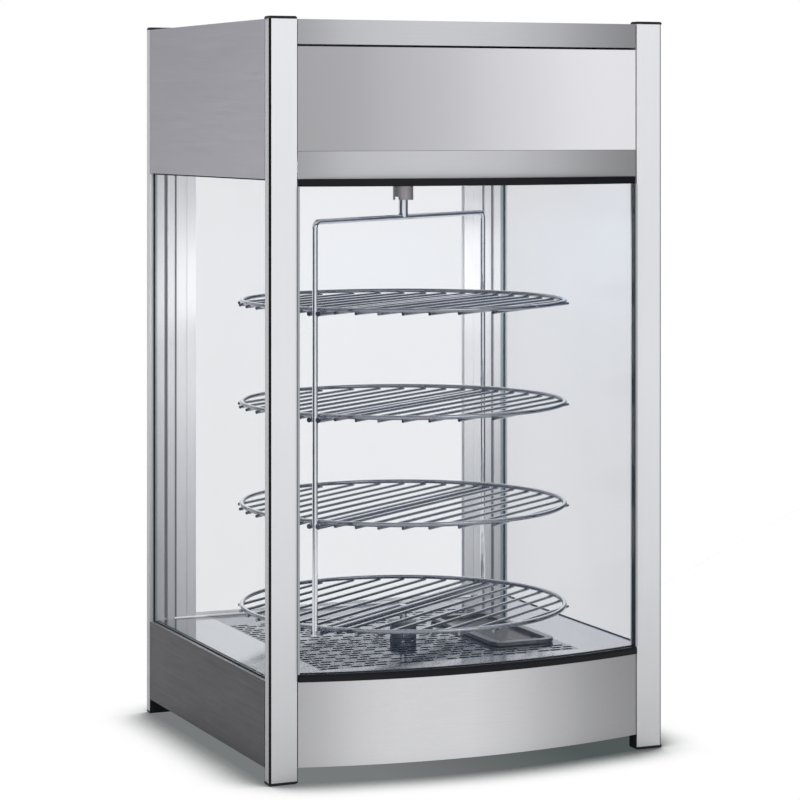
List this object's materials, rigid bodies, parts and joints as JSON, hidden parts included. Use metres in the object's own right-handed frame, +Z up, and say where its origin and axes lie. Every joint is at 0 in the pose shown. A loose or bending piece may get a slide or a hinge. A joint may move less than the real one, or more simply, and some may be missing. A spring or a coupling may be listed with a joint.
{
  "type": "heated display case",
  "caption": "Upright glazed cabinet with wire racks that turn on a drive hub over a slotted heated floor, a bowed front pane, a hinged rear door and rear controls.",
  "frame": {"origin": "middle of the bounding box, on the plane of the feet", "axes": "+Z up, -Y to the front pane, +X to the right seen from the front"},
  "size_m": [0.465, 0.468, 0.805],
  "materials": {
    "satin_aluminium": "satin anodised",
    "black_plastic": "satin",
    "black_rubber": "matte",
    "brushed_panel": "brushed",
    "polished_floor": "polished",
    "sign_face": "satin",
    "clear_glass": "clear",
    "clear_seal": "satin",
    "bright_wire": "polished",
    "dark_metal": "satin",
    "pan_steel": "satin",
    "zinc_sheet": "matte",
    "motor_body": "satin",
    "element_sheath": "matte",
    "lamp_ceramic": "glazed",
    "lamp_glass": "frosted",
    "red_rocker": "gloss",
    "green_rocker": "gloss",
    "screw_steel": "polished"
  },
  "bodies": {
    "case": {"post_front_left": "satin_aluminium", "post_front_right": "satin_aluminium", "post_rear_left": "satin_aluminium", "post_rear_right": "satin_aluminium", "corner_beads": "black_plastic", "top_caps": "black_plastic", "foot_caps": "black_plastic", "base_pan": "zinc_sheet", "base_front_panel": "brushed_panel", "base_left_panel": "brushed_panel", "base_right_panel": "brushed_panel", "base_rear_panel": "brushed_panel", "floor_plate": "polished_floor", "front_lower_trim": "black_plastic", "front_upper_trim": "black_plastic", "front_glass": "clear_glass", "front_glass_seals": "clear_seal", "left_glass": "clear_glass", "right_glass": "clear_glass", "left_gasket": "black_rubber", "right_gasket": "black_rubber", "upper_left_panel": "brushed_panel", "upper_right_panel": "brushed_panel", "upper_rear_panel": "brushed_panel", "roof_panel": "brushed_panel", "ceiling_plate": "polished_floor", "top_rail": "brushed_panel", "sign_panel": "sign_face", "lower_rail": "brushed_panel", "lamp_holders": "lamp_ceramic", "lamp_bulbs": "lamp_glass", "top_bearing": "dark_metal", "gear_motor": "motor_body", "motor_bracket": "zinc_sheet", "heating_element": "element_sheath", "heater_brackets": "zinc_sheet", "door_pivots": "screw_steel", "door_catch": "dark_metal", "switch_bezels": "black_plastic", "thermostat": "motor_body", "cord_gland": "black_plastic", "case_screws": "screw_steel"},
    "turntable": {"motor_shaft": "bright_wire", "drive_hub": "dark_metal", "hub_set_screw": "screw_steel", "pivot_pin": "bright_wire", "hanger": "bright_wire", "rack_bottom": "bright_wire", "rack_lower": "bright_wire", "rack_upper": "bright_wire", "rack_top": "bright_wire"},
    "rear_door": {"door_stile_hinge": "satin_aluminium", "door_stile_latch": "satin_aluminium", "door_rails": "satin_aluminium", "door_glass": "clear_glass", "door_handle": "bright_wire"},
    "power_switch": {"power_rocker": "red_rocker"},
    "light_switch": {"light_rocker": "green_rocker"},
    "knob": {"thermostat_knob": "black_plastic"},
    "pan": {"water_pan": "pan_steel"}
  },
  "joints": [
    {"name": "turntable_spin", "type": "hinge", "parent": "case", "child": "turntable", "pos_m": [0, -0.0184, 0.12], "axis": [0, 0, 1], "continuous": true},
    {"name": "rear_door_hinge", "type": "hinge", "parent": "case", "child": "rear_door", "pos_m": [0.19, 0.198, 0.37], "axis": [0, 0, -1], "range_deg": [0, 110]},
    {"name": "power_rocker_tilt", "type": "hinge", "parent": "case", "child": "power_switch", "pos_m": [-0.15, 0.2016, 0.062], "axis": [1, 0, 0], "range_deg": [0, 18]},
    {"name": "light_rocker_tilt", "type": "hinge", "parent": "case", "child": "light_switch", "pos_m": [-0.11, 0.2016, 0.062], "axis": [1, 0, 0], "range_deg": [0, 18]},
    {"name": "thermostat_turn", "type": "hinge", "parent": "case", "child": "knob", "pos_m": [-0.04, 0.205, 0.062], "axis": [0, 1, 0], "range_deg": [0, 270]},
    {"name": "water_pan_slide", "type": "slide", "parent": "case", "child": "pan", "axis": [0, 1, 0], "range_m": [0, 0.12]}
  ]
}
